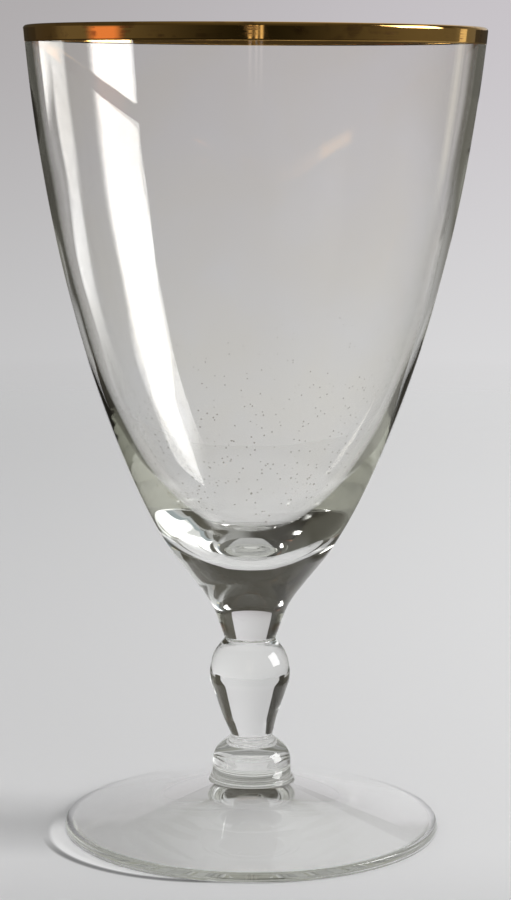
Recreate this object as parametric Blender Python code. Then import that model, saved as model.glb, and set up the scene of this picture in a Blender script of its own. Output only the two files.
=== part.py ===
"""Footed iced tea glass with a baluster stem, a collar on a thin disc and a gilded lip.

Every piece is turned about +Z: its profile is drawn in the XZ plane from the sizes below and swept by a
Screw modifier. The pieces stack up from the table as foot, lower collar, upper collar, stem and bowl, with
the gilding over the bowl's lip. Each seat is a shallow dish that the rounded end of the piece above fits.
Lengths are in metres. The origin is the centre of the foot, on the table.
"""

import math

import bpy
from mathutils import Vector
from mathutils.geometry import interpolate_bezier

# Foot: a cone, hollow underneath, that stands on a narrow flat ring; its edge leans out towards the table
FOOT_RADIUS = 0.0390
FOOT_HEIGHT = 0.0102
FOOT_EDGE_THICKNESS = 0.00205
FOOT_EDGE_ROUND = 0.0005
FOOT_EDGE_LEAN = 0.00025
FOOT_REST_WIDTH = 0.0016
FOOT_CROWN_THICKNESS = 0.0035
FOOT_HOLLOW_FLAT_RADIUS = 0.0055

# Lower collar: a thin disc between the foot and the upper collar
LOWER_COLLAR_HEIGHT = 0.0008
LOWER_COLLAR_RADIUS = 0.0086
LOWER_COLLAR_TOP_ROUND = 0.0005
LOWER_COLLAR_BASE_ROUND = 0.0002

# Upper collar: a ring with a sloping shoulder up to the stem
UPPER_COLLAR_HEIGHT = 0.0079
UPPER_COLLAR_RADIUS = 0.00815
UPPER_COLLAR_SHOULDER = 0.0056
UPPER_COLLAR_SHOULDER_LEAN = math.radians(52.0)
UPPER_COLLAR_BASE_ROUND = 0.0003

# Stem: a baluster, widest near its top; its shoulder and swell are corners between straight slopes, rounded off
STEM_LENGTH = 0.0200
STEM_LEDGE = 0.00025
STEM_SHOULDER_RADIUS = 0.0077
STEM_SHOULDER_DROP = 0.0029
STEM_SHOULDER_ROUND = 0.0015
STEM_SWELL_RADIUS = 0.00856
STEM_SWELL_DROP = 0.0077
STEM_SWELL_ROUND = 0.0017
STEM_BASE_RADIUS = 0.00425

# Bowl: a tulip that flares to the lip, on a solid base drawn down to a neck
BOWL_HEIGHT = 0.1249
BOWL_RIM_RADIUS = 0.04635
BOWL_RIM_FLARE = math.radians(5.4)
BOWL_LIP_THICKNESS = 0.0014
BOWL_INSIDE_FLARE = math.radians(5.8)
BOWL_FLOOR_HEIGHT = 0.0193
BOWL_WAIST_HEIGHT = 0.0173
BOWL_WAIST_RADIUS = 0.0156
BOWL_WAIST_SLOPE = math.radians(38.3)
NECK_RADIUS = 0.0052
NECK_TAPER = math.radians(20.0)

# Gilding over the lip
GILT_BAND_HEIGHT = 0.0033
GILT_THICKNESS = 0.0002
GILT_GAP = 0.0001

# Seats between the pieces
SEAT_GAP = 0.0003
SEAT_DISH = 0.0005

# Pull of each curve's handles, as shares of the height or side that the curve spans
BOWL_SIDE_PULL = (0.64, 0.03)
BOWL_INSIDE_PULL = 0.62
BOWL_FLOOR_PULL = 0.44
NECK_PULL = (0.80, 0.55)
COLLAR_SHOULDER_PULL = (0.30, 0.60)
ROUND_PULL = 0.62

# Facets
TURN_STEPS = 48
LONG_CURVE_POINTS = 17
CURVE_POINTS = 9
ROUND_POINTS = 5
SEAT_POINTS = 4

# Heights of the seats, from the table up
LOWER_COLLAR_Z = FOOT_HEIGHT + SEAT_GAP
UPPER_COLLAR_Z = LOWER_COLLAR_Z + LOWER_COLLAR_HEIGHT + SEAT_GAP
STEM_Z = UPPER_COLLAR_Z + UPPER_COLLAR_HEIGHT + SEAT_GAP
BOWL_Z = STEM_Z + STEM_LENGTH + SEAT_GAP

# Radii of the seats under the collars
LOWER_COLLAR_BASE_RADIUS = LOWER_COLLAR_RADIUS - LOWER_COLLAR_BASE_ROUND
UPPER_COLLAR_BASE_RADIUS = UPPER_COLLAR_RADIUS - UPPER_COLLAR_BASE_ROUND


def spot(radius, height):
    """A profile point."""
    return Vector((radius, 0.0, height))


def downhill(angle):
    """The unit direction that runs down a wall leaning inwards by the angle from the vertical."""
    return spot(-math.sin(angle), -math.cos(angle))


def slant(angle):
    """The unit direction that runs outwards and down by the angle from the level."""
    return spot(math.cos(angle), -math.sin(angle))


def arc(centre, radius_across, radius_up, start, end, count=ROUND_POINTS):
    """Points along an elliptical arc about the centre, between two angles in degrees."""
    points = []
    for step in range(count):
        angle = math.radians(start + (end - start) * step / (count - 1))
        points.append(centre + spot(radius_across * math.cos(angle), radius_up * math.sin(angle)))
    return points


def rounded(before, corner, after, reach):
    """Points round a corner that leave both of its straight sides at the reach from it."""
    start = corner + (before - corner).normalized() * reach
    end = corner + (after - corner).normalized() * reach
    return interpolate_bezier(start, start.lerp(corner, ROUND_PULL), end.lerp(corner, ROUND_PULL), end, CURVE_POINTS)


def seat(radius, height):
    """Points of a dished seat, from its edge in to the axis, where it is deepest."""
    points = []
    for step in range(SEAT_POINTS):
        share = 1 - step / (SEAT_POINTS - 1)
        points.append(spot(radius * share, height - SEAT_DISH * (1 - share ** 2)))
    return points


def join(*stretches):
    """One profile from several stretches, with the point that neighbours share kept once."""
    profile = []
    for stretch in stretches:
        for point in stretch:
            if not profile or (point - profile[-1]).length > 1e-7:
                profile.append(point)
    return profile


def glass(name, tint):
    """Clear glass with a faint tint."""
    material = bpy.data.materials.new(name)
    material.use_nodes = True
    shader = material.node_tree.nodes["Principled BSDF"]
    shader.inputs["Base Color"].default_value = (*tint, 1.0)
    shader.inputs["Roughness"].default_value = 0.03
    shader.inputs["Metallic"].default_value = 0.0
    shader.inputs["IOR"].default_value = 1.5
    shader.inputs["Transmission Weight"].default_value = 1.0
    return material


def gold(name):
    """Fired gilding, bright but not quite a mirror."""
    material = bpy.data.materials.new(name)
    material.use_nodes = True
    shader = material.node_tree.nodes["Principled BSDF"]
    shader.inputs["Base Color"].default_value = (0.78, 0.49, 0.18, 1.0)
    shader.inputs["Roughness"].default_value = 0.18
    shader.inputs["Metallic"].default_value = 1.0
    return material


def turn(name, profile, height, material, holder, closed=False):
    """A turned piece: the profile, drawn from its own base, swept round the axis at the given height."""
    edges = [(index, index + 1) for index in range(len(profile) - 1)]
    if closed:
        edges.append((len(profile) - 1, 0))
    mesh = bpy.data.meshes.new(name)
    mesh.from_pydata(profile, edges, [])
    mesh.materials.append(material)
    piece = bpy.data.objects.new(name, mesh)
    bpy.context.collection.objects.link(piece)
    piece.parent = holder
    piece.location.z = height
    screw = piece.modifiers.new("turn", "SCREW")
    screw.axis = "Z"
    screw.steps = TURN_STEPS
    screw.render_steps = TURN_STEPS
    screw.use_merge_vertices = True
    screw.merge_threshold = 1e-6
    screw.use_smooth_shade = True
    return piece


def foot_profile():
    """Dished seat, conical top, leaning edge, resting ring and the hollow underneath."""
    lean = math.degrees(math.atan2(FOOT_EDGE_LEAN, FOOT_EDGE_THICKNESS - 2 * FOOT_EDGE_ROUND))
    base_centre = spot(FOOT_RADIUS - FOOT_EDGE_ROUND, FOOT_EDGE_ROUND)
    top_centre = base_centre + spot(-FOOT_EDGE_LEAN, FOOT_EDGE_THICKNESS - 2 * FOOT_EDGE_ROUND)
    cone_slope = math.degrees(math.atan2(FOOT_HEIGHT - FOOT_EDGE_THICKNESS, FOOT_RADIUS - LOWER_COLLAR_BASE_RADIUS))
    hollow_edge = spot(FOOT_RADIUS - FOOT_EDGE_ROUND - FOOT_REST_WIDTH, 0.0)
    hollow_rise = FOOT_HEIGHT - SEAT_DISH - FOOT_CROWN_THICKNESS
    crown = spot(0.0, hollow_rise)
    cone = spot(FOOT_HOLLOW_FLAT_RADIUS, hollow_rise)
    slope_end = hollow_edge.lerp(cone, 0.5)
    return join(
        seat(LOWER_COLLAR_BASE_RADIUS, FOOT_HEIGHT)[::-1],
        arc(top_centre, FOOT_EDGE_ROUND, FOOT_EDGE_ROUND, 90 - cone_slope, lean),
        arc(base_centre, FOOT_EDGE_ROUND, FOOT_EDGE_ROUND, lean, -90),
        interpolate_bezier(hollow_edge, slope_end, cone, crown, CURVE_POINTS),
    )


def lower_collar_profile():
    """A thin disc, dished on top for the upper collar."""
    top_round = LOWER_COLLAR_RADIUS - UPPER_COLLAR_BASE_RADIUS
    top_centre = spot(UPPER_COLLAR_BASE_RADIUS, LOWER_COLLAR_HEIGHT - LOWER_COLLAR_TOP_ROUND)
    base_centre = spot(LOWER_COLLAR_BASE_RADIUS, LOWER_COLLAR_BASE_ROUND)
    return join(
        seat(UPPER_COLLAR_BASE_RADIUS, LOWER_COLLAR_HEIGHT)[::-1],
        arc(top_centre, top_round, LOWER_COLLAR_TOP_ROUND, 90, 0),
        arc(base_centre, LOWER_COLLAR_BASE_ROUND, LOWER_COLLAR_BASE_ROUND, 0, -90),
        seat(LOWER_COLLAR_BASE_RADIUS, 0.0),
    )


def upper_collar_profile():
    """A ring whose shoulder slopes up to the stem, dished on top for it."""
    shoulder_top = spot(STEM_BASE_RADIUS, UPPER_COLLAR_HEIGHT)
    shoulder_end = spot(UPPER_COLLAR_RADIUS, UPPER_COLLAR_HEIGHT - UPPER_COLLAR_SHOULDER)
    top_pull, side_pull = COLLAR_SHOULDER_PULL
    leave = shoulder_top + slant(UPPER_COLLAR_SHOULDER_LEAN) * UPPER_COLLAR_SHOULDER * top_pull
    arrive = shoulder_end + spot(0.0, UPPER_COLLAR_SHOULDER * side_pull)
    base_centre = spot(UPPER_COLLAR_BASE_RADIUS, UPPER_COLLAR_BASE_ROUND)
    return join(
        seat(STEM_BASE_RADIUS, UPPER_COLLAR_HEIGHT)[::-1],
        interpolate_bezier(shoulder_top, leave, arrive, shoulder_end, CURVE_POINTS),
        arc(base_centre, UPPER_COLLAR_BASE_ROUND, UPPER_COLLAR_BASE_ROUND, 0, -90),
        seat(UPPER_COLLAR_BASE_RADIUS, 0.0),
    )


def stem_profile():
    """The baluster: a round shoulder under the neck, a soft swell and a long taper to the collar."""
    ledge = spot(NECK_RADIUS + STEM_LEDGE, STEM_LENGTH)
    shoulder = spot(STEM_SHOULDER_RADIUS, STEM_LENGTH - STEM_SHOULDER_DROP)
    swell = spot(STEM_SWELL_RADIUS, STEM_LENGTH - STEM_SWELL_DROP)
    base = spot(STEM_BASE_RADIUS, 0.0)
    return join(
        seat(NECK_RADIUS, STEM_LENGTH)[::-1],
        [ledge],
        rounded(ledge, shoulder, swell, STEM_SHOULDER_ROUND),
        rounded(shoulder, swell, base, STEM_SWELL_ROUND),
        seat(STEM_BASE_RADIUS, 0.0),
    )


def lip_centre():
    """The centre of the rounded lip's section, above the bowl's own base."""
    lip_round = BOWL_LIP_THICKNESS / 2
    return spot(BOWL_RIM_RADIUS - lip_round, BOWL_HEIGHT - lip_round)


def lip_arc(radius):
    """The lip's half round, from the inside wall over the top to the outside wall."""
    start = 180 - math.degrees(BOWL_INSIDE_FLARE)
    end = -math.degrees(BOWL_RIM_FLARE)
    return arc(lip_centre(), radius, radius, start, end)


def bowl_profile():
    """Inside wall up from the floor, over the lip, down the flared outside and the solid base to the neck."""
    lip = lip_arc(BOWL_LIP_THICKNESS / 2)
    floor = spot(0.0, BOWL_FLOOR_HEIGHT)
    inside_depth = lip[0].z - BOWL_FLOOR_HEIGHT
    floor_handle = floor + spot(lip[0].x * BOWL_FLOOR_PULL, 0.0)
    inside_handle = lip[0] + downhill(BOWL_INSIDE_FLARE) * inside_depth * BOWL_INSIDE_PULL
    waist = spot(BOWL_WAIST_RADIUS, BOWL_WAIST_HEIGHT)
    side_height = lip[-1].z - BOWL_WAIST_HEIGHT
    lip_pull, waist_pull = BOWL_SIDE_PULL
    side_leave = lip[-1] + downhill(BOWL_RIM_FLARE) * side_height * lip_pull
    side_arrive = waist - downhill(BOWL_WAIST_SLOPE) * side_height * waist_pull
    neck = spot(NECK_RADIUS, 0.0)
    waist_leave_pull, neck_pull = NECK_PULL
    neck_leave = waist + downhill(BOWL_WAIST_SLOPE) * BOWL_WAIST_HEIGHT * waist_leave_pull
    neck_arrive = neck - downhill(NECK_TAPER) * BOWL_WAIST_HEIGHT * neck_pull
    return join(
        interpolate_bezier(floor, floor_handle, inside_handle, lip[0], LONG_CURVE_POINTS),
        lip,
        interpolate_bezier(lip[-1], side_leave, side_arrive, waist, LONG_CURVE_POINTS),
        interpolate_bezier(waist, neck_leave, neck_arrive, neck, CURVE_POINTS),
        seat(NECK_RADIUS, 0.0),
    )


def gilding_profile():
    """A thin closed skin over the lip and down the outside, clear of the glass by the gilding gap."""
    inner_radius = BOWL_LIP_THICKNESS / 2 + GILT_GAP
    outer_radius = inner_radius + GILT_THICKNESS
    inner = lip_arc(inner_radius)
    outer = lip_arc(outer_radius)
    skirt = downhill(BOWL_RIM_FLARE) * (GILT_BAND_HEIGHT - BOWL_LIP_THICKNESS / 2)
    return outer + [outer[-1] + skirt, inner[-1] + skirt] + inner[::-1]


def build():
    """Clears the scene and makes each piece under one empty at the origin."""
    for leftover in list(bpy.data.objects):
        bpy.data.objects.remove(leftover)
    glass_root = bpy.data.objects.new("iced_tea_glass", None)
    bpy.context.collection.objects.link(glass_root)
    pale = (0.95, 0.96, 0.94)
    turn("foot", foot_profile(), 0.0, glass("foot", pale), glass_root)
    turn("lower_collar", lower_collar_profile(), LOWER_COLLAR_Z, glass("lower_collar", pale), glass_root)
    turn("upper_collar", upper_collar_profile(), UPPER_COLLAR_Z, glass("upper_collar", pale), glass_root)
    turn("stem", stem_profile(), STEM_Z, glass("stem", pale), glass_root)
    turn("bowl", bowl_profile(), BOWL_Z, glass("bowl", pale), glass_root)
    turn("rim_gold_band", gilding_profile(), BOWL_Z, gold("rim_gold_band"), glass_root, closed=True)


build()
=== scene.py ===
# %% [markdown]
# # A footed iced tea glass, turned with numpy
#
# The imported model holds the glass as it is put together: foot, two collars, stem, bowl and the gilding on the lip. Its
# boxes fix the main sizes here. This lesson dresses it as one clear body of glass with a film of gold on the lip, and
# then sets up the table, the card and the window that the glass bends and mirrors.

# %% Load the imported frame
import math

import bpy
import numpy as np
from mathutils import Euler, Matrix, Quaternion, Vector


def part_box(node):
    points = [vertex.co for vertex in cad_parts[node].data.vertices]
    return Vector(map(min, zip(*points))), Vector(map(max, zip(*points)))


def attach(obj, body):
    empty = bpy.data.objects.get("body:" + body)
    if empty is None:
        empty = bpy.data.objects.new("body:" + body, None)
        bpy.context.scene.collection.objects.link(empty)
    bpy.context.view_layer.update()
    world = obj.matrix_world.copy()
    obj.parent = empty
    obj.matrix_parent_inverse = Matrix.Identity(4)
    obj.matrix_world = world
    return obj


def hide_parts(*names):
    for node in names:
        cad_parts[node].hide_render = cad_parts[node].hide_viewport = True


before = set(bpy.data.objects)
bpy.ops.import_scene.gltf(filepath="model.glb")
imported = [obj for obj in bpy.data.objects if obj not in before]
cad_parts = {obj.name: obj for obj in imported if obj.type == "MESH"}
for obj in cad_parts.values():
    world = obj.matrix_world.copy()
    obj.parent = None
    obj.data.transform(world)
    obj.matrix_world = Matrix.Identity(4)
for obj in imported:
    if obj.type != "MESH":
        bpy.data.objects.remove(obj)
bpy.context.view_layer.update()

print("nodes:", ", ".join(sorted(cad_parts)))

# %% [markdown]
# ## Sizes that come from the frame
#
# A turned piece needs only radii and heights. Those that the solids already settle are read from their boxes, so the
# glass stays where the solids are. What the boxes can't tell, such as the thickness of the lip, is named here in
# metres.

# %% Read the sizes
def radius_of(node):
    """The largest radius of a turned node: the far side of its box."""
    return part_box(node)[1][0]


def top_of(node):
    """The highest point of a node."""
    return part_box(node)[1][2]


RIM_RADIUS = radius_of("bowl")
LIP_TOP = top_of("bowl")
LIP_THICKNESS = 0.0014
STEM_TOP = top_of("stem")
COLLAR_RADIUS = radius_of("upper_collar")
COLLAR_TOP = top_of("upper_collar")
DISC_RADIUS = radius_of("lower_collar")
DISC_TOP = top_of("lower_collar")
FOOT_RADIUS = radius_of("foot")
FOOT_TOP = top_of("foot")
GILT_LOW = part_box("rim_gold_band")[0][2]
print(f"rim {2000 * RIM_RADIUS:.1f} mm across, {1000 * LIP_TOP:.1f} mm high, foot {2000 * FOOT_RADIUS:.1f} mm across")

# %% [markdown]
# ## Curves for a turner's profile
#
# A glassworker's shapes are arcs, straight tapers and easy S-curves. Blender's own curve objects could draw them, but
# three formulas are enough: a cubic Bezier for the long walls, an elliptical arc for the rounded edges and an eased
# corner. Each returns an array of radius and height pairs, which numpy can join and turn.

# %% Curves
CORNER_EASE = 0.62


def spot(radius, height):
    """A profile point as a small array."""
    return np.array([radius, height])


def downhill(angle):
    """The unit direction down a wall that leans inwards by the angle, in degrees, from the vertical."""
    lean = math.radians(angle)
    return spot(-math.sin(lean), -math.cos(lean))


def slant(angle):
    """The unit direction outwards and down by the angle, in degrees, from the level."""
    lean = math.radians(angle)
    return spot(math.cos(lean), -math.sin(lean))


def bezier(start, leave, arrive, end, count):
    """Cubic Bezier: the start, two handles and the end, weighted by the Bernstein polynomials of t."""
    t = np.linspace(0.0, 1.0, count)[:, None]
    return (1 - t) ** 3 * start + 3 * (1 - t) ** 2 * t * leave + 3 * (1 - t) * t ** 2 * arrive + t ** 3 * end


def arc(centre, across, up, start, end, count):
    """Elliptical arc: the centre plus (across cos a, up sin a), for angles a in degrees from start to end."""
    angle = np.radians(np.linspace(start, end, count))
    return centre + np.stack([across * np.cos(angle), up * np.sin(angle)], axis=1)


def rounded(before, corner, after, reach, count):
    """A corner eased by a Bezier that leaves both straight sides at the reach from it."""
    start = corner + (before - corner) / np.linalg.norm(before - corner) * reach
    end = corner + (after - corner) / np.linalg.norm(after - corner) * reach
    return bezier(start, start + CORNER_EASE * (corner - start), end + CORNER_EASE * (corner - end), end, count)


def join(*stretches):
    """One profile from several stretches, without the points that neighbouring stretches share."""
    points = np.concatenate(stretches)
    step = np.linalg.norm(np.diff(points, axis=0), axis=1)
    return points[np.concatenate([[True], step > 1e-7])]


# %% [markdown]
# ## What keeps a blown wall from being true
#
# No blown glass runs quite true. The bowl sits half a millimetre off the foot's axis, and its wall strays by a few
# hundredths of a millimetre in slow waves. Both are too small to see as a shape, but they keep the reflections from
# looking ruled. A Displace modifier could add them. Here they are two short formulas inside the turning.

# %% Lean and ripple
LEAN_HEIGHTS = (0.0195, 0.0235, 0.050, 0.165)
LEAN_OFFSETS = (0.0, -0.00045, -0.0005, -0.00012)
RIPPLE_HEIGHT = 0.00002
RIPPLE_FROM = 0.064
RIPPLE_TO = 0.156
RIPPLE_EASE = 0.02


def lean_at(height):
    """How far the axis stands off to one side at a height: straight lines between the offsets listed above."""
    return np.interp(height, LEAN_HEIGHTS, LEAN_OFFSETS)


def ripple(profile, angle):
    """How far a wall strays outwards: a sum of three slow sine waves of the angle and of the length along the
    profile, eased out above the bowl's foot and below the gilding."""
    along = np.concatenate([[0.0], np.cumsum(np.linalg.norm(np.diff(profile, axis=0), axis=1))])[:, None]
    waves = np.sin(3 * angle + 90 * along)
    waves = waves + 0.7 * np.sin(7 * angle - 160 * along + 1)
    waves = waves + 0.5 * np.sin(11 * angle + 240 * along + 2)
    height = profile[:, 1:]
    share = np.clip((height - RIPPLE_FROM) / RIPPLE_EASE, 0, 1) * np.clip((RIPPLE_TO - height) / RIPPLE_EASE, 0, 1)
    return RIPPLE_HEIGHT * share * waves


print(f"the bowl leans by up to {1000 * -min(LEAN_OFFSETS):.1f} mm")

# %% [markdown]
# ## Turning a profile
#
# Revolving a profile is a surface of two parameters, the place along the profile and the angle round the axis. Spin or
# a Screw modifier could do it, but a grid that numpy works out at once keeps the poles and the seam in hand. Points on
# the axis become single pole vertices with a fan of triangles, so the skin stays closed, which glass needs: a ray has
# to know when it is inside.

# %% The turning helper
TURN_STEPS = 208


def linked(name, points, faces):
    """A new object from an array of points and a list of faces."""
    mesh = bpy.data.meshes.new(name)
    mesh.from_pydata(points.reshape(-1, 3).tolist(), [], faces)
    thing = bpy.data.objects.new(name, mesh)
    bpy.context.collection.objects.link(thing)
    return thing


def turned(name, profile, ring=False):
    """Surface (r cos a, r sin a, z) of a profile (r, z) over a full turn of a, plus lean and ripple. A ring closes on
    itself instead of on the axis."""
    rows = profile if ring else profile[1:-1]
    angle = np.arange(TURN_STEPS) * (2 * math.pi / TURN_STEPS)
    grid = np.empty((len(rows), TURN_STEPS, 3))
    radius = rows[:, :1] + ripple(rows, angle)
    grid[..., 0] = radius * np.cos(angle) + lean_at(rows[:, 1:])
    grid[..., 1] = radius * np.sin(angle)
    grid[..., 2] = rows[:, 1:]
    points = grid.reshape(-1, 3)
    index = np.arange(len(points)).reshape(len(rows), TURN_STEPS)
    here = index if ring else index[:-1]
    below = np.roll(index, -1, axis=0) if ring else index[1:]
    quads = np.stack([here, below, np.roll(below, -1, axis=1), np.roll(here, -1, axis=1)], axis=-1)
    faces = quads.reshape(-1, 4).tolist()
    if not ring:
        first, last = len(points), len(points) + 1
        ends = profile[[0, -1], 1]
        points = np.concatenate([points, np.stack([lean_at(ends), np.zeros(2), ends], axis=1)])
        start, end = index[0], index[-1]
        faces += np.stack([np.full(TURN_STEPS, first), start, np.roll(start, -1)], axis=1).tolist()
        faces += np.stack([np.full(TURN_STEPS, last), np.roll(end, -1), end], axis=1).tolist()
    piece = linked(name, points, faces)
    piece.data.shade_smooth()
    print(f"{name}: {len(points)} points, {len(faces)} faces")
    return piece


# %% [markdown]
# ## The bowl's walls
#
# The bowl is blown into a mould and its lip is melted round. The wall is thin at the lip and thickens steadily down to
# a solid base, which draws in to the neck. A single curve with a Solidify modifier would give an even wall. Inside and
# outside are separate curves here, because their growing distance is what bends the light and draws the dark lines
# down both sides.

# %% Bowl profile
LIP_ROUND = LIP_THICKNESS / 2
LIP_CENTRE = spot(RIM_RADIUS - LIP_ROUND, LIP_TOP - LIP_ROUND)
OUTSIDE_FLARE = 5.4
INSIDE_FLARE = 5.8
NECK_HEIGHT = STEM_TOP + 0.0002
BOWL_FLOOR = NECK_HEIGHT + 0.0195
FLOOR_PULL = 0.48
INSIDE_PULL = 0.61
OUTSIDE_PULL = 0.64
WAIST = spot(0.0156, NECK_HEIGHT + 0.0175)
WAIST_SLOPE = 38.3
WAIST_PULL = 0.05
NECK = spot(0.0052, NECK_HEIGHT)
NECK_TAPER = 20.0
DRAW_PULL = 0.80
NECK_PULL = 0.55

lip = arc(LIP_CENTRE, LIP_ROUND, LIP_ROUND, 180 - INSIDE_FLARE, -OUTSIDE_FLARE, 17)
bowl_floor = spot(0.0, BOWL_FLOOR)
inside_depth = lip[0, 1] - BOWL_FLOOR
inside_wall = bezier(
    bowl_floor,
    bowl_floor + spot(FLOOR_PULL * lip[0, 0], 0.0),
    lip[0] + downhill(INSIDE_FLARE) * inside_depth * INSIDE_PULL,
    lip[0],
    96,
)
side_height = lip[-1, 1] - WAIST[1]
outside_wall = bezier(
    lip[-1],
    lip[-1] + downhill(OUTSIDE_FLARE) * side_height * OUTSIDE_PULL,
    WAIST - downhill(WAIST_SLOPE) * side_height * WAIST_PULL,
    WAIST,
    90,
)
waist_height = WAIST[1] - NECK_HEIGHT
neck_wall = bezier(
    WAIST,
    WAIST + downhill(WAIST_SLOPE) * waist_height * DRAW_PULL,
    NECK - downhill(NECK_TAPER) * waist_height * NECK_PULL,
    NECK,
    40,
)
capacity = math.pi * np.sum(inside_wall[1:, 0] ** 2 * np.diff(inside_wall[:, 1]))
print(f"the bowl holds {1e6 * capacity:.0f} ml to the brim")

# %% [markdown]
# ## Stem and collars
#
# The baluster is pressed: a sharp crease at the neck, a rounded shoulder, then a straight taper to a round-shouldered
# collar. Under the collar a thin disc, hardly wider than it, spreads the glass onto the foot. Straight lines with eased
# corners keep the taper as crisp as a press leaves it, where one long Bezier would make it look blown.

# %% Stem profile
STEM_LEDGE = spot(NECK[0] + 0.00025, STEM_TOP)
STEM_SHOULDER = spot(0.0077, STEM_TOP - 0.0029)
STEM_SWELL = spot(0.00856, STEM_TOP - 0.0077)
STEM_BASE = spot(0.00425, COLLAR_TOP)
SHOULDER_EASE = 0.0015
SWELL_EASE = 0.0017
COLLAR_SHOULDER = 0.0056
COLLAR_SHOULDER_LEAN = 52.0
SHOULDER_PULL = 0.30
SIDE_PULL = 0.60
DISC_ROUND = 0.0006

shoulder_round = rounded(STEM_LEDGE, STEM_SHOULDER, STEM_SWELL, SHOULDER_EASE, 18)
swell_round = rounded(STEM_SHOULDER, STEM_SWELL, STEM_BASE, SWELL_EASE, 24)
baluster = join(
    np.linspace(STEM_LEDGE, shoulder_round[0], 12),
    shoulder_round,
    np.linspace(shoulder_round[-1], swell_round[0], 10),
    swell_round,
    np.linspace(swell_round[-1], STEM_BASE, 24),
)
collar_side = spot(COLLAR_RADIUS, COLLAR_TOP - COLLAR_SHOULDER)
collar_shoulder = bezier(
    STEM_BASE,
    STEM_BASE + slant(COLLAR_SHOULDER_LEAN) * COLLAR_SHOULDER * SHOULDER_PULL,
    collar_side + spot(0.0, SIDE_PULL * COLLAR_SHOULDER),
    collar_side,
    24,
)
disc_edge = arc(spot(COLLAR_RADIUS, DISC_TOP - DISC_ROUND), DISC_RADIUS - COLLAR_RADIUS, DISC_ROUND, 90, 0, 10)
print(f"the baluster swells to {2000 * baluster[:, 0].max():.1f} mm")

# %% [markdown]
# ## The foot, and the whole glass
#
# The foot is a shallow cone with a hollow underneath, and stands on a narrow ring. With it the profile is complete.
# The pieces could stay five solids, but the real glass is fused hot and light crosses it without a seam. So all
# stretches are joined, from the bowl's floor over the lip and down to the hollow, and turned in one go.

# %% Foot profile and turning
FOOT_EDGE_ROUND = 0.0005
FOOT_EDGE_LEAN = 0.00025
FOOT_EDGE_START = 74
FOOT_EDGE_TILT = 9
FOOT_EDGE_HEIGHT = 0.00205
REST_WIDTH = 0.0016
HOLLOW_RISE = 0.0062
HOLLOW_FLAT = 0.0055

upper_edge = spot(FOOT_RADIUS - FOOT_EDGE_ROUND - FOOT_EDGE_LEAN, FOOT_EDGE_HEIGHT - FOOT_EDGE_ROUND)
lower_edge = spot(FOOT_RADIUS - FOOT_EDGE_ROUND, FOOT_EDGE_ROUND)
foot_edge = join(
    arc(upper_edge, FOOT_EDGE_ROUND, FOOT_EDGE_ROUND, FOOT_EDGE_START, FOOT_EDGE_TILT, 8),
    arc(lower_edge, FOOT_EDGE_ROUND, FOOT_EDGE_ROUND, FOOT_EDGE_TILT, -90, 10),
)
foot_cone = np.linspace(spot(DISC_RADIUS, FOOT_TOP), foot_edge[0], 40)
hollow_edge = spot(FOOT_RADIUS - FOOT_EDGE_ROUND - REST_WIDTH, 0.0)
hollow_cone = spot(HOLLOW_FLAT, HOLLOW_RISE)
hollow = bezier(hollow_edge, (hollow_edge + hollow_cone) / 2, hollow_cone, spot(0.0, HOLLOW_RISE), 50)

glass_profile = join(
    inside_wall, lip, outside_wall, neck_wall, baluster, collar_shoulder, disc_edge, foot_cone, foot_edge, hollow
)
glass_body = turned("glass_body", glass_profile)

# %% [markdown]
# ## The gilding
#
# Gilding is a film of gold fired onto the lip, far thinner than anything that a mesh should hold. It could be a second
# material on some faces of the bowl, but then the glass would have a hole there. Here it is a thin ring whose inner
# face lies just under the surface of the glass, so that it also shows as gold from inside.

# %% Gilding profile
FILM_OUT = 0.00004
FILM_IN = 0.00002
GILT_START = 165

outer_lip = arc(LIP_CENTRE, LIP_ROUND + FILM_OUT, LIP_ROUND + FILM_OUT, GILT_START, -OUTSIDE_FLARE, 17)
inner_lip = arc(LIP_CENTRE, LIP_ROUND - FILM_IN, LIP_ROUND - FILM_IN, GILT_START, -OUTSIDE_FLARE, 17)
skirt_length = lip[-1, 1] - GILT_LOW
skirt_share = np.linspace(0.0, 1.0, 9)[1:, None]
skirt = downhill(OUTSIDE_FLARE) * skirt_length * skirt_share
gilt_profile = join(outer_lip, outer_lip[-1] + skirt, (inner_lip[-1] + skirt)[::-1], inner_lip[::-1])
gilding = turned("gilding", gilt_profile, ring=True)

# %% [markdown]
# ## Arithmetic with shader nodes
#
# The finishes below are sums, fades and blends of position. Each step could be a node placed by hand in the editor.
# Here a field is the output of a node, and plain arithmetic on fields adds Math nodes. So a recipe reads as a formula.

# %% Fields
WHITE = (1.0, 1.0, 1.0, 1.0)
BLACK = (0.0, 0.0, 0.0, 1.0)


def put(value, socket):
    """Link a field to a socket, or set a plain value on it."""
    if isinstance(value, Field):
        socket.id_data.links.new(value.socket, socket)
    else:
        socket.default_value = value


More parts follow.
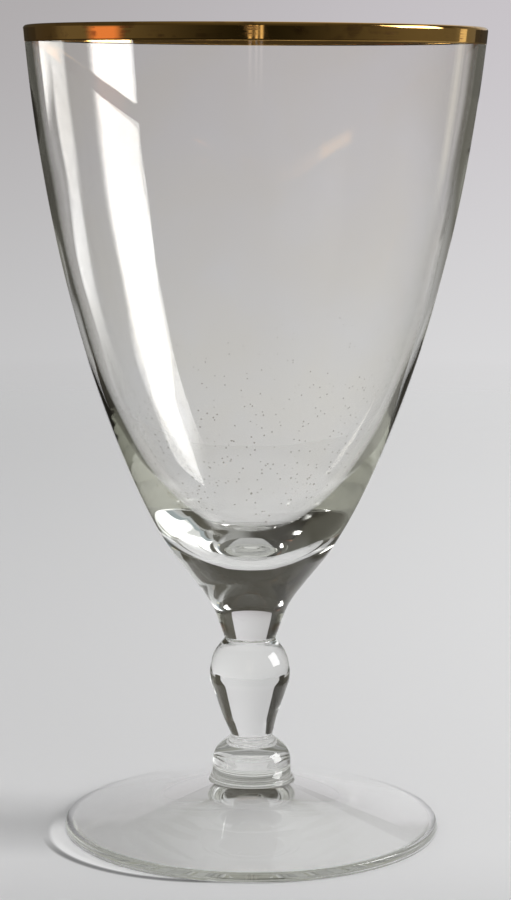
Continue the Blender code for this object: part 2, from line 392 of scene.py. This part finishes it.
class Field:
    """The output of a node. Arithmetic, tests (1 or 0) and fades each add one node to its tree."""

    def __init__(self, socket):
        self.socket = socket

    def math(self, operation, *values):
        """The result of one Math node on the given values."""
        node = self.socket.id_data.nodes.new("ShaderNodeMath")
        node.operation = operation
        for value, socket in zip(values, node.inputs):
            put(value, socket)
        return Field(node.outputs[0])

    def __add__(self, other):
        return self.math("ADD", self, other)

    def __sub__(self, other):
        return self.math("SUBTRACT", self, other)

    def __rsub__(self, other):
        return self.math("SUBTRACT", other, self)

    def __mul__(self, other):
        return self.math("MULTIPLY", self, other)

    def __abs__(self):
        return self.math("ABSOLUTE", self)

    def over(self, limit):
        """1 where the field is above the limit, else 0."""
        return self.math("GREATER_THAN", self, limit)

    def under(self, limit):
        """1 where the field is below the limit, else 0."""
        return self.math("LESS_THAN", self, limit)

    def larger(self, other):
        """The larger of the two, which joins two shares."""
        return self.math("MAXIMUM", self, other)

    def fade(self, start, end):
        """Smooth step from 0 at start to 1 at end."""
        node = self.socket.id_data.nodes.new("ShaderNodeMapRange")
        node.interpolation_type = "SMOOTHSTEP"
        for value, socket in zip((self, start, end, 0.0, 1.0), node.inputs):
            put(value, socket)
        return Field(node.outputs[0])


# %% [markdown]
# ## Nodes that start a recipe
#
# A recipe starts from a position, a noise or a blend of colours. These few calls cover all of them, so that the
# materials need no wiring of their own.

# %% Node helpers
class Nodes:
    """The nodes of one tree."""

    def __init__(self, tree):
        self.tree = tree

    def add(self, kind, **settings):
        """A new node with the given settings."""
        node = self.tree.nodes.new(kind)
        for name, value in settings.items():
            setattr(node, name, value)
        return node

    def place(self, system="Object"):
        """The position, and its three coordinates."""
        place = Field(self.add("ShaderNodeTexCoord").outputs[system])
        return place, self.parts(place)

    def parts(self, vector):
        """The three coordinates of a vector."""
        split = self.add("ShaderNodeSeparateXYZ")
        put(vector, split.inputs[0])
        return [Field(socket) for socket in split.outputs]

    def distance(self, place, point):
        """How far a position is from a fixed point."""
        node = self.add("ShaderNodeVectorMath", operation="DISTANCE")
        put(place, node.inputs[0])
        put(point, node.inputs[1])
        return Field(node.outputs["Value"])

    def stretched(self, place, factors):
        """A position multiplied by a factor along each axis."""
        node = self.add("ShaderNodeVectorMath", operation="MULTIPLY")
        put(place, node.inputs[0])
        put(factors, node.inputs[1])
        return Field(node.outputs[0])

    def noise(self, place, scale, detail):
        """Cloudy noise from 0 to 1."""
        node = self.add("ShaderNodeTexNoise")
        for value, name in ((place, "Vector"), (scale, "Scale"), (detail, "Detail")):
            put(value, node.inputs[name])
        return Field(node.outputs[0])

    def mix(self, share, first, second):
        """Blend of two colours."""
        node = self.add("ShaderNodeMix", data_type="RGBA")
        for value, place in ((share, 0), (first, 6), (second, 7)):
            put(value, node.inputs[place])
        return Field(node.outputs[2])

    def partly_clear(self, shader, share):
        """The tree's surface: a shader that turns clear by a share."""
        blend = self.add("ShaderNodeMixShader")
        put(share, blend.inputs[0])
        put(Field(shader), blend.inputs[1])
        put(Field(self.add("ShaderNodeBsdfTransparent").outputs[0]), blend.inputs[2])
        put(Field(blend.outputs[0]), self.tree.nodes["Material Output"].inputs["Surface"])


def new_material(name):
    """A node material, its Principled BSDF and its nodes."""
    material = bpy.data.materials.new(name)
    material.use_nodes = True
    return material, material.node_tree.nodes["Principled BSDF"], Nodes(material.node_tree)


# %% [markdown]
# ## Clear glass
#
# The glass is nearly colourless, with the faint green-grey of ordinary table glass where the light has far to go. That
# could be a tint on the surface, but then a thin wall would be as dark as the base. As absorption in the volume, it
# leaves thin walls clear and darkens the solid base by itself.
#
# A used glass also carries a trace of rinsing film on the bowl, and a few dried specks near its floor. Soft noise and a
# fine Voronoi pattern tint the surface there, on Object coordinates, so they stay put on the glass.

# %% Glass
GLASS_TINT = (0.80, 0.84, 0.68, 1.0)
GLASS_DENSITY = 5.0
FILM_TINT = (1.0, 0.990, 0.962, 1.0)
FILM_CLOUDS = 55.0
SPECK_TONE = (0.44, 0.41, 0.37, 1.0)
SPECK_SPACING = 480.0
SPECK_REACH = 0.115
SPECK_EDGE = 0.004


def clear_glass():
    """Glass whose colour is white, blended to the film by height and noise, and to the specks where the distance to
    the nearest Voronoi point is under a reach that shrinks upwards."""
    material, shader, make = new_material("clear_glass")
    place, (_, _, height) = make.place()
    film = height.fade(0.058, 0.075) * make.noise(place, FILM_CLOUDS, 2.0).fade(0.25, 0.75)
    colour = make.mix(film, WHITE, FILM_TINT)
    grains = make.add("ShaderNodeTexVoronoi")
    put(place, grains.inputs["Vector"])
    put(SPECK_SPACING, grains.inputs["Scale"])
    reach = height.fade(0.135, 0.066) * height.fade(0.058, 0.062) * SPECK_REACH
    speck = (Field(grains.outputs["Distance"]) - reach).fade(SPECK_EDGE, -SPECK_EDGE)
    put(make.mix(speck, colour, SPECK_TONE), shader.inputs["Base Color"])
    shader.inputs["Roughness"].default_value = 0.0
    shader.inputs["IOR"].default_value = 1.5
    shader.inputs["Transmission Weight"].default_value = 1.0
    tint = make.add("ShaderNodeVolumeAbsorption")
    tint.inputs["Color"].default_value = GLASS_TINT
    tint.inputs["Density"].default_value = GLASS_DENSITY
    put(Field(tint.outputs["Volume"]), make.tree.nodes["Material Output"].inputs["Volume"])
    return material


glass_body.data.materials.append(clear_glass())
print("glass_body wears", glass_body.data.materials[0].name)

# %% [markdown]
# ## Fired gold
#
# The gilding was laid on with a brush while the glass turned, and then fired. A plain metal would look like a tube of
# brass. Noise that is stretched round the rim gives the fine rings of the brush, and a second noise shows where hands
# and washing have worn the gold brown.

# %% Gold
BRIGHT_GOLD = (0.90, 0.54, 0.17, 1.0)
WORN_GOLD = (0.50, 0.27, 0.10, 1.0)
BRUSH_STRETCH = (45.0, 45.0, 2600.0)
BRUSH_DEPTH = 0.00002
WEAR_PATCHES = 260.0


def fired_gold():
    """Metal whose colour goes from bright to worn where both noises are high, and whose roughness and bump follow the
    brush rings."""
    material, shader, make = new_material("fired_gold")
    place, _ = make.place()
    brushed = make.noise(make.stretched(place, BRUSH_STRETCH), 1.0, 3.0)
    worn = make.noise(place, WEAR_PATCHES, 4.0).fade(0.52, 0.70) * brushed.fade(0.35, 0.65)
    put(make.mix(worn, BRIGHT_GOLD, WORN_GOLD), shader.inputs["Base Color"])
    shader.inputs["Metallic"].default_value = 1.0
    put(brushed * 0.10 + worn * 0.12, shader.inputs["Roughness"])
    bump = make.add("ShaderNodeBump")
    bump.inputs["Strength"].default_value = 0.12
    bump.inputs["Distance"].default_value = BRUSH_DEPTH
    put(brushed, bump.inputs["Height"])
    put(Field(bump.outputs[0]), shader.inputs["Normal"])
    return material


gilding.data.materials.append(fired_gold())
print("gilding wears", gilding.data.materials[0].name)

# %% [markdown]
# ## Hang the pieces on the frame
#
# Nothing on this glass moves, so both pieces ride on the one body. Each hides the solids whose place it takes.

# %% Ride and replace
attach(glass_body, "root")
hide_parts("bowl", "stem", "upper_collar", "lower_collar", "foot")
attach(gilding, "root")
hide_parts("rim_gold_band")
print("two pieces ride on the root body")

# %% [markdown]
# ## What a ray has been through
#
# Clear glass shows only what is around it, so the surroundings are the larger half of its looks. A pale table runs
# under the glass and fades into a pale backdrop, the room beside them is dim, and one tall window stands to the right.
# The dim room draws the dark lines along the walls and down the stem, where the glass bends the view sideways.
#
# A real room has all of that in it. This one is bare, so each of its surfaces asks Light Path how a ray came: straight
# from the eye, through the thin wall, through the solid stem, or thrown back inside the glass.

# %% Kinds of rays
class Rays:
    """Counts from Light Path: throws are mirror bounces, crossings are glass surfaces passed, scatters are matt
    bounces. Each kind of ray is 1 or 0. A bent ray has met something on its way from the eye, an outer one never
    entered the glass, and one wall means two surfaces at most, which the solid stem has too."""

    def __init__(self, make):
        path = make.add("ShaderNodeLightPath").outputs
        self.throws = Field(path["Glossy Depth"])
        self.crossings = Field(path["Transmission Depth"])
        self.scatters = Field(path["Diffuse Depth"])
        self.length = Field(path["Ray Length"])
        self.from_eye = Field(path["Is Camera Ray"])
        self.bent = 1.0 - self.from_eye
        self.first_sight = self.scatters.under(0.5)
        self.mirrored = self.throws.over(0.5)
        self.plain = 1.0 - self.mirrored
        self.twice = self.throws.over(1.5)
        self.outer = self.crossings.under(0.5)
        self.inner = 1.0 - self.outer
        self.one_wall = self.crossings.under(2.5)
        self.through_bowl = self.crossings.over(3.5)


def heading_of(across, ahead):
    """The compass heading of a direction, in degrees to the right of straight ahead."""
    return across.math("ARCTAN2", across, ahead) * (180 / math.pi)


# %% [markdown]
# ## The table
#
# The table is a flat disc of pale paper that fades out into the backdrop. A plane would do for the eye, but its far
# edge would show in the glass, and a disc can fade evenly all round.

# %% Table disc
TABLE_RADIUS = 0.95
TABLE_RINGS = 24
TABLE_STEPS = 96


def table_disc():
    """A flat disc: rings of growing radius, each a full turn of angles, and one face in the middle."""
    rings = np.linspace(0.02, TABLE_RADIUS, TABLE_RINGS)[:, None]
    angle = np.arange(TABLE_STEPS) * (2 * math.pi / TABLE_STEPS)
    level = np.zeros((TABLE_RINGS, TABLE_STEPS))
    points = np.stack([rings * np.cos(angle), rings * np.sin(angle), level], axis=-1)
    index = np.arange(TABLE_RINGS * TABLE_STEPS).reshape(TABLE_RINGS, TABLE_STEPS)
    here, beyond = index[:-1], index[1:]
    quads = np.stack([here, beyond, np.roll(beyond, -1, axis=1), np.roll(here, -1, axis=1)], axis=-1)
    return linked("table", points, quads.reshape(-1, 4).tolist() + [index[0].tolist()])


table = table_disc()
print(f"table: {2 * TABLE_RADIUS:.1f} m across")

# %% [markdown]
# ## Where the table looks dim
#
# A ray from the eye or through the thin wall meets pale paper, painted lighter towards the window on the right. A ray
# that was thrown back inside the glass meets table painted dim, as painted shade out of the window's reach, except
# close to the foot and in a strip straight behind it. So does a ray that the solid stem has bent far to the side.
# Painted lighter and darker shares for the far table, and painted shade on the front table, keep the view through the
# bowl as even as the view past it.

# %% Tones of the table
# PALE_LEFT to PALE_RIGHT is painted light: the paper grows lighter towards the window. DIM_TABLE and DARK_FRONT are
# painted shade.
PALE_LEFT = (0.79, 0.79, 0.80, 1.0)
PALE_RIGHT = (0.90, 0.90, 0.91, 1.0)
DIM_TABLE = (0.06, 0.056, 0.045, 1.0)
DIM_TABLE_RIGHT = (0.27, 0.265, 0.24, 1.0)
DARK_FRONT = (0.018, 0.017, 0.013, 1.0)


def dim_share(rays, radius, across, ahead):
    """1 where a ray meets the dim table: mirrored rays outside the near disc and the strip, and rays from the stem
    that land beside a wedge straight ahead."""
    from_above = (rays.length + 0.012).over(radius)
    near = (radius.fade(0.30, 0.22) * (1.0 - from_above)).larger(radius.fade(0.07, 0.055))
    strip = (abs(across) + ahead.under(0.0)).fade(0.065, 0.055)
    mirror_dim = rays.mirrored * (1.0 - near.larger(strip))
    wedge = ahead.larger(0.0) * 1.3 + 0.09
    left_strip = across.under(0.0) * abs(ahead).under(0.05)
    beside = (abs(across) - wedge).fade(-0.004, 0.004) * (1.0 - left_strip)
    stem_dim = rays.one_wall * rays.bent * beside * from_above
    return mirror_dim.larger(stem_dim) * rays.first_sight


def pale_tone(make, rays, across, ahead):
    """The lit paper: painted lighter from left to right towards the window, a little lighter through the stem, darker
    through the bowl, and painted darker in front as shade."""
    pale = make.mix(across.fade(-0.14, 0.14), PALE_LEFT, PALE_RIGHT)
    through_stem = rays.bent - rays.through_bowl
    pale = make.mix(ahead.fade(0.02, 0.12) * through_stem * 0.08, pale, WHITE)
    pale = make.mix(ahead.fade(0.05, 0.20) * rays.through_bowl * 0.09, pale, BLACK)
    # Painted shade: the paper darkens towards the front.
    return make.mix(ahead.fade(-0.01, -0.08) * 0.15, pale, BLACK)


def dim_tone(make, rays, across, ahead):
    """The paper painted dim as shade: painted paler towards the window on the right for mirrored rays, darkest in front
    for the outer skin.
    """
    tone = make.mix(rays.mirrored * across.fade(0.03, 0.09), DIM_TABLE, DIM_TABLE_RIGHT)
    return make.mix(rays.outer * ahead.fade(-0.05, -0.20), tone, DARK_FRONT)


# %% [markdown]
# ## The light that the foot gathers
#
# Sunlit glass gathers light. The foot throws a bright crescent with a dark edge on the table to its left, in the soft
# shadow of the whole glass. A renderer needs very many rays to find such light, so it is painted on the paper: the
# painted crescent of light is a circle a little off the foot's own, its painted shadow edge is a thin line on that
# circle, and a painted soft shadow darkens the table to the left of the foot.

# %% Crescent
CRESCENT_CENTRE = (-0.00865, -0.00347, 0.0)
CRESCENT_RADIUS = 0.034
CRESCENT_SHINE = 0.26
EDGE_SHADE = 0.62
SOFT_SHADE = 0.12


def crescent(make, place, radius, across, ahead):
    """The painted crescent of light and its painted shade, both from 0 to 1: inside the circle and outside the foot it
    is painted lit, on the circle's line and to the left of the foot it is painted in shade."""
    gap = make.distance(place, CRESCENT_CENTRE) - CRESCENT_RADIUS
    beyond_foot = radius.fade(0.0386, 0.0392)
    light = gap.fade(-0.0002, -0.0014) * (beyond_foot * ahead.fade(0.006, -0.006))
    line = abs(gap - 0.0003).fade(0.0013, 0.0003) * (beyond_foot * ahead.fade(-0.004, -0.024))
    # Painted soft shadow: a band to the left of the foot, darker than the paper around it.
    sideways = across.fade(-0.038, -0.042) * across.fade(-0.20, -0.06)
    soft = sideways * (ahead.fade(-0.026, -0.013) * ahead.fade(0.012, -0.002))
    return light, (line * EDGE_SHADE).larger(soft * SOFT_SHADE)


crescent_shift = math.hypot(*CRESCENT_CENTRE)
print(f"crescent: {2000 * CRESCENT_RADIUS:.0f} mm across, {1000 * crescent_shift:.1f} mm off the foot's middle")

# %% [markdown]
# ## The table's material
#
# The parts come together in one paper: pale or painted dim, with painted shade at the crescent, painted light under the
# hollow foot, where the glass gathers light too, and a painted bright sheet far to the left, seen only by mirrored
# rays, that shows as painted glints in the base.

# %% Table paper
SHEET_HEADING = -61.0
SHEET_SHINE = 4.5


def table_paper():
    """Rough paper with the tones above. Its painted light is under the foot's hollow, on the far glint sheet and at the
    crescent. It turns clear towards the disc's edge."""
    material, shader, make = new_material("table_paper")
    shader.inputs["Roughness"].default_value = 0.9
    shader.inputs["Specular IOR Level"].default_value = 0.0
    place, (across, ahead, _) = make.place()
    radius = make.distance(place, (0.0, 0.0, 0.0))
    rays = Rays(make)
    light, shade = crescent(make, place, radius, across, ahead)
    pale = make.mix(shade, pale_tone(make, rays, across, ahead), BLACK)
    dim = dim_share(rays, radius, across, ahead)
    put(make.mix(dim, pale, dim_tone(make, rays, across, ahead)), shader.inputs["Base Color"])
    # Painted light under the hollow foot, a little stronger to the right.
    painted_light_under_foot = radius.fade(0.040, 0.036) * rays.bent * (across.fade(-0.030, 0.004) * 0.09 + 0.16)
    # A painted bright sheet far to the left, seen only by mirrored rays inside the glass: painted glints in the base.
    glint_sheet = abs(heading_of(across, ahead) - SHEET_HEADING).fade(9.0, 5.0) * radius.fade(0.18, 0.45)
    glint_sheet = glint_sheet * rays.mirrored * rays.first_sight * rays.inner
    put(WHITE, shader.inputs["Emission Color"])
    put(painted_light_under_foot + glint_sheet * SHEET_SHINE + light * CRESCENT_SHINE, shader.inputs["Emission Strength"])
    make.partly_clear(shader.outputs["BSDF"], radius.fade(0.45, 0.90))
    return material


table.data.materials.append(table_paper())
print("table wears", table.data.materials[0].name)

# %% [markdown]
# ## Backdrop tones
#
# The backdrop is paler low down and to the right, nearer the window. The same two formulas colour the card behind the
# glass and the room, so that one runs into the other.

# %% Backdrop
LOW_LEFT = (0.585, 0.585, 0.59, 1.0)
LOW_RIGHT = (0.72, 0.72, 0.725, 1.0)
HIGH_LEFT = (0.42, 0.40, 0.405, 1.0)
HIGH_RIGHT = (0.575, 0.545, 0.575, 1.0)
DARK_ROOM = (0.05, 0.047, 0.038, 1.0)
PALE_ROOM = (0.50, 0.50, 0.49, 1.0)
DEGREES_PER_RADIAN = 57.3
VIEW_HALF_ANGLE = 5.8


def backdrop_tone(make, side, height):
    """The backdrop's grey, blended left to right and upwards. Side runs from -1 to 1, height in degrees of view."""
    low = make.mix(side.fade(-1.3, 1.3), LOW_LEFT, LOW_RIGHT)
    high = make.mix(side.fade(-1.3, 1.3), HIGH_LEFT, HIGH_RIGHT)
    return make.mix(height.fade(-9.5, 3.5), low, high)


def upper_room(make, side):
    """The room above the card as the outer skin mirrors it: dark to the left, pale to the right. Side in metres."""
    return make.mix(side.fade(-0.075, 0.015), DARK_ROOM, PALE_ROOM)


# %% [markdown]
# ## The card behind
#
# Behind the glass stands a pale card that only bent or mirrored rays can see. Its middle has the backdrop's tone, so
# the view through the bowl matches the view past it. Its wings are dim, and where they begin is where the dark lines
# begin. A photographer does the same with black boards on both sides of the white one.
#
# The wings' tone depends on the ray's way too. The stem's rays see them darkest, which gives the baluster its dark
# sleeves, and rays through the bowl see them grey. Rays that look down over the rim pass the card altogether.

# %% Card tones
CARD_PLACE = 0.290
CARD_TOP = 0.182
CARD_HALF = 0.320
MIDDLE_HALF = 0.10
EYE_HEIGHT = 0.1547
EYE_TO_CARD = 0.795
VIEW_HALF_WIDTH = 0.081
UPPER_TILT = 0.135
RIM_CENTRE = (0.0, 0.0, 0.14)
WING_LEFT = (0.036, 0.033, 0.026, 1.0)
WING_RIGHT = (0.09, 0.085, 0.068, 1.0)
GREY_WING_LEFT = (0.42, 0.415, 0.40, 1.0)
GREY_WING_RIGHT = (0.10, 0.095, 0.08, 1.0)
LOW_WING = (0.50, 0.50, 0.50, 1.0)
TWICE_RIGHT = (0.30, 0.30, 0.29, 1.0)
UPPER_RIGHT = (0.05, 0.047, 0.04, 1.0)
GATHERED = (0.34, 0.34, 0.31, 1.0)


def wing_share(rays, side, up):
    """0 on the pale middle and 1 on the wings. The middle widens downwards, and its edge is softer for mirrored rays
    and for rays through the bowl."""
    belly = up.fade(0.099, 0.083).larger(rays.plain * (side.under(0.0) * 0.7 + 0.3)) * 0.05
    base = up.fade(0.065, 0.025) * 0.05
    half = belly + base + MIDDLE_HALF
    soft = rays.mirrored * 0.02 + rays.plain * rays.through_bowl * 0.012
    return (abs(side) - half).fade(-0.002 - soft, soft * 0.5 + 0.002)


def over_rim_share(make, rays, place, side):
    """1 for rays that come over the rim through one wall: they start nearer the card than the stem's rays do, which
    shows in their length."""
    nearer = (rays.length + 0.030).under(make.distance(place, RIM_CENTRE))
    return nearer * rays.one_wall * abs(side).over(0.15) * (rays.plain * rays.inner)


print(f"the card's wings begin {1000 * MIDDLE_HALF:.0f} mm from its middle")

# %% [markdown]
# ## The card's material
#
# It is a plain light, as bright as its tone. The outer skin of the glass, a weak mirror, sees the middle of the card,
# dark wings and the upper room above a slightly tilted line.

# %% Card
def card_paper():
    """Light of the colour that fits the ray: middle or wing inside the glass, skin tones outside, one grey for rays
    that were thrown back many times."""
    material, shader, make = new_material("card_paper")
    make.tree.nodes.remove(shader)
    place, (side, _, up) = make.place()
    rays = Rays(make)
    view_height = (up - EYE_HEIGHT) * (DEGREES_PER_RADIAN / EYE_TO_CARD)
    paper = backdrop_tone(make, side * (1.0 / VIEW_HALF_WIDTH), view_height)
    to_right = side.fade(-0.03, 0.06)
    paper = make.mix(rays.twice, paper, make.mix(to_right, DARK_ROOM, TWICE_RIGHT))
    dark_wing = make.mix(side.fade(-0.05, 0.05), WING_LEFT, WING_RIGHT)
    grey_wing = make.mix(side.fade(-0.05, 0.05), GREY_WING_LEFT, GREY_WING_RIGHT)
    wing = make.mix(rays.plain * rays.through_bowl, dark_wing, grey_wing)
    wing = make.mix(rays.mirrored * to_right * up.fade(0.11, 0.045), wing, LOW_WING)
    skin = make.mix(abs(side).fade(0.105, 0.115), paper, dark_wing)
    upper = make.mix(side.fade(0.06, 0.10), upper_room(make, side), UPPER_RIGHT)
    above = (up + side * UPPER_TILT).fade(0.156, 0.160)
    inside = make.mix(wing_share(rays, side, up), paper, wing)
    seen = make.mix(rays.outer, inside, make.mix(above, skin, upper))
    seen = make.mix(rays.throws.fade(2.5, 3.5), seen, GATHERED)
    glow = make.add("ShaderNodeEmission")
    put(seen, glow.inputs[0])
    make.partly_clear(glow.outputs[0], over_rim_share(make, rays, place, side))
    return material


corners = np.array([[-1, 0], [1, 0], [1, 1], [-1, 1]]) * [CARD_HALF, CARD_TOP]
card = linked("card", np.insert(corners, 1, CARD_PLACE, axis=1), [[0, 1, 2, 3]])
card.data.materials.append(card_paper())
card.visible_camera = card.visible_diffuse = card.visible_shadow = False
print(f"card: {2000 * CARD_HALF:.0f} by {1000 * CARD_TOP:.0f} mm, {1000 * CARD_PLACE:.0f} mm behind the axis")

# %% [markdown]
# ## The dim room
#
# The world is the rest of the room, told apart by the direction of a ray: heading in degrees to the right of straight
# ahead, and height in degrees above the level. The outer skin and the gilding mirror a room that is darkest behind the
# camera and a little lighter to the sides. A photograph of a room wrapped round the scene would do as well, but a few
# soft panels are easier to move until the reflections sit right.

# %% Room tones
DIM_LOW = (0.055, 0.051, 0.039, 1.0)
DIM_HIGH = (0.13, 0.125, 0.105, 1.0)
BEHIND_DARK = (0.015, 0.015, 0.012, 1.0)
BEHIND_SIDE = (0.13, 0.125, 0.11, 1.0)
LEFT_SIDE = (0.055, 0.05, 0.04, 1.0)
RIGHT_WALL = (0.17, 0.165, 0.14, 1.0)


def panel(heading, height, centre, half_width, top, soft):
    """1 inside a band of headings and below a height, in degrees, with soft edges."""
    inside = abs(heading - centre).fade(half_width + soft, half_width - soft)
    return inside * height.fade(top + soft, top - soft)


def dim_room(make, rays, heading, height):
    """The room without lights: a blend by height, darker behind for the outer skin, a right wall, and the upper room
    straight ahead."""
    dim = make.mix(height.fade(40.0, 75.0) * rays.outer, DIM_LOW, DIM_HIGH)
    away = abs(heading)
    behind = make.mix(away.fade(175.0, 85.0), BEHIND_DARK, BEHIND_SIDE)
    behind = make.mix(away.fade(75.0, 60.0) * heading.under(0.0), behind, LEFT_SIDE)
    dim = make.mix(rays.outer * height.fade(12.0, 2.0), dim, behind)
    dim = make.mix(panel(heading, height, 46.0, 18.0, 20.0, 2.0), dim, RIGHT_WALL)
    ahead_of = away.fade(40.0, 25.0) * height.fade(65.0, 55.0)
    upper = upper_room(make, heading * (CARD_PLACE / DEGREES_PER_RADIAN))
    return make.mix(rays.outer * ahead_of, dim, upper)


# %% [markdown]
# ## Lit edges of the room
#
# A few things in the room catch the window's light: the wall beside it, a sheet on the left, a warm panel and some
# narrow edges behind the camera. They make the pale lines in the walls, the glints in the base and the bright marks on
# the gilding. Small lamps could stand there, but they would light the table too. As panels of the world they show only
# to the rays that should see them.

# %% Lit panels
WALL_FAR = (0.30, 0.30, 0.29, 1.0)
WALL_NEAR = (0.85, 0.86, 0.87, 1.0)
WALL_LOW = (0.36, 0.41, 0.44, 1.0)
SIDE_SHEET = (0.55, 0.54, 0.53, 1.0)
BRIGHT_SHEET = (4.5, 4.4, 4.25, 1.0)
WARM_PANEL = (0.85, 0.36, 0.22, 1.0)
NARROW_EDGE = (0.9, 0.8, 0.7, 1.0)
NARROW_HEADINGS = (177.0, 179.5, -177.5)
RIGHT_EDGE = (0.8, 0.75, 0.6, 1.0)


def lit_room(make, rays, heading, height, dim):
    """The dim room with its lit panels laid over it, each for the rays that should see it."""
    wall = make.mix(heading.fade(30.0, 80.0), WALL_FAR, WALL_NEAR)
    wall = make.mix(height.fade(5.0, 3.0), wall, WALL_LOW)
    seen = make.mix(rays.twice * rays.inner * panel(heading, height, 70.0, 42.0, 36.0, 3.0), dim, wall)
    seen = make.mix(panel(heading, height, -90.0, 16.0, 4.0, 2.0) * rays.plain, seen, SIDE_SHEET)
    corner = panel(heading, height, -46.0, 16.0, 2.0, 2.0) * height.fade(-7.0, -4.5)
    glint_sheet = panel(heading, height, SHEET_HEADING, 7.0, 1.0, 2.0).larger(corner)
    seen = make.mix(glint_sheet * (rays.mirrored * rays.inner), seen, BRIGHT_SHEET)
    seen = make.mix(panel(heading, height, -101.5, 9.0, -3.0, 4.0) * rays.mirrored, seen, WARM_PANEL)
    for centre in NARROW_HEADINGS:
        seen = make.mix(panel(heading, height, centre, 0.7, 10.0, 0.4) * rays.mirrored, seen, NARROW_EDGE)
    return make.mix(panel(heading, height, 57.0, 3.5, 3.0, 0.6) * rays.mirrored, seen, RIGHT_EDGE)


print(len(NARROW_HEADINGS), "narrow edges behind the camera")

# %% [markdown]
# ## The world
#
# The eye meets a plain pale backdrop and the table is lit by an even grey. Rays that went round many times inside the
# wall have gathered light from everywhere, so they meet a middle tone. Rays that only crossed the bowl meet a pale one,
# which keeps the bowl clear from every side.

# %% World
LOST_LEFT = (0.30, 0.30, 0.27, 1.0)
LOST_RIGHT = (0.52, 0.52, 0.49, 1.0)
PALE_THROUGH = (0.54, 0.535, 0.52, 1.0)
EVEN_LIGHT = (0.47, 0.47, 0.465, 1.0)


def room():
    """World by direction: the lit room, blended to the tone for lost, crossing and scattered rays, and to the backdrop
    for the eye."""
    world = bpy.data.worlds.new("room")
    bpy.context.scene.world = world
    world.use_nodes = True
    make = Nodes(world.node_tree)
    _, (across, ahead, up) = make.place("Generated")
    heading = heading_of(across, ahead)
    height = up.math("ARCSINE", up) * (180 / math.pi)
    rays = Rays(make)
    seen = lit_room(make, rays, heading, height, dim_room(make, rays, heading, height))
    lost = make.mix(heading.fade(-20.0, 20.0), LOST_LEFT, LOST_RIGHT)
    seen = make.mix(rays.throws.fade(3.5, 6.5), seen, lost)
    crossing = rays.through_bowl.larger(height.under(0.0)) * rays.inner * rays.plain
    seen = make.mix(crossing * height.fade(60.0, 30.0), seen, PALE_THROUGH)
    seen = make.mix(rays.scatters.math("MINIMUM", rays.scatters, 1.0), seen, EVEN_LIGHT)
    backdrop = backdrop_tone(make, heading * (1 / VIEW_HALF_ANGLE), height)
    put(make.mix(rays.from_eye, seen, backdrop), world.node_tree.nodes["Background"].inputs["Color"])
    return world


print("world:", room().name)

# %% [markdown]
# ## The window
#
# One tall window lights the glass from the right and leaves the long white stripe on the bowl's left side. An area
# light has the right shape and a soft shadow. Its nodes soften the two sides as a curtain does, end the upper part as a
# blind does, and weaken it for rays that were mirrored twice.

# %% Window
WINDOW_HEADING = 92.5
WINDOW_LIFT = 27.0
WINDOW_DISTANCE = 1.6
WINDOW_WIDTH = 0.96
WINDOW_HEIGHT = 1.42
WINDOW_RADIANCE = 9.0
AIM_HEIGHT = 0.05
TWICE_LOSS = 0.87


def curtained(light):
    """Scale a light across its own face: a curtain fades both sides, a blind ends the top, softer for rays inside the
    glass, and rays mirrored twice lose most of it."""
    light.use_nodes = True
    make = Nodes(light.node_tree)
    rays = Rays(make)
    across, up, _ = make.parts(Field(make.add("ShaderNodeNewGeometry").outputs["Parametric"]))
    curtain = across.fade(0.0, 0.04) * across.fade(1.0, 0.80)
    blind = up.fade(rays.inner * 0.26 + 0.74, 0.70 - rays.inner * 0.10)
    strength = curtain * blind * (1.0 - rays.twice * TWICE_LOSS)
    put(strength, light.node_tree.nodes["Emission"].inputs["Strength"])


def window():
    """A rectangular light that faces the glass from a heading and a lift, in degrees, at a distance."""
    light = bpy.data.lights.new("right_window", "AREA")
    light.shape = "RECTANGLE"
    light.size = WINDOW_WIDTH
    light.size_y = WINDOW_HEIGHT
    light.energy = WINDOW_RADIANCE * math.pi * WINDOW_WIDTH * WINDOW_HEIGHT
    curtained(light)
    lamp = bpy.data.objects.new("right_window", light)
    turn, lift = math.radians(WINDOW_HEADING), math.radians(WINDOW_LIFT)
    level = WINDOW_DISTANCE * math.cos(lift)
    rise = WINDOW_DISTANCE * math.sin(lift) + AIM_HEIGHT
    lamp.location = (level * math.sin(turn), level * math.cos(turn), rise)
    lamp.rotation_euler = (math.radians(90.0) - lift, 0.0, math.pi - turn)
    bpy.context.collection.objects.link(lamp)
    lamp.visible_camera = False
    return lamp


print(f"{window().name}: {WINDOW_WIDTH:.2f} by {WINDOW_HEIGHT:.2f} m, {WINDOW_DISTANCE:.1f} m away")

# %% [markdown]
# ## Camera
#
# The camera stands half a metre away, just under the height of the lip, and tips down to take in the whole glass. It
# leans by a third of a degree, as a camera in the hand does. Glass needs long paths, so the bounces are raised.

# %% Camera
CAMERA_DISTANCE = 0.50525
CAMERA_OFFSET = 0.0004
CAMERA_PITCH = 8.479
CAMERA_ROLL = 0.36
CAMERA_LENS = 99.6
CAMERA_SENSOR = 36.0

lens = bpy.data.cameras.new("camera")
lens.lens = CAMERA_LENS
lens.sensor_width = CAMERA_SENSOR
camera = bpy.data.objects.new("camera", lens)
bpy.context.collection.objects.link(camera)
camera.location = (CAMERA_OFFSET, -CAMERA_DISTANCE, EYE_HEIGHT)
camera.rotation_mode = "QUATERNION"
tipped = Euler((math.radians(90.0 - CAMERA_PITCH), 0.0, 0.0)).to_quaternion()
camera.rotation_quaternion = tipped @ Quaternion((0.0, 0.0, 1.0), math.radians(CAMERA_ROLL))
scene = bpy.context.scene
scene.camera = camera
scene.view_settings.view_transform = "Standard"
scene.cycles.max_bounces = 40
scene.cycles.glossy_bounces = 30
scene.cycles.transmission_bounces = 30
print(f"camera {CAMERA_DISTANCE:.3f} m away, tipped down by {CAMERA_PITCH:.1f} degrees")
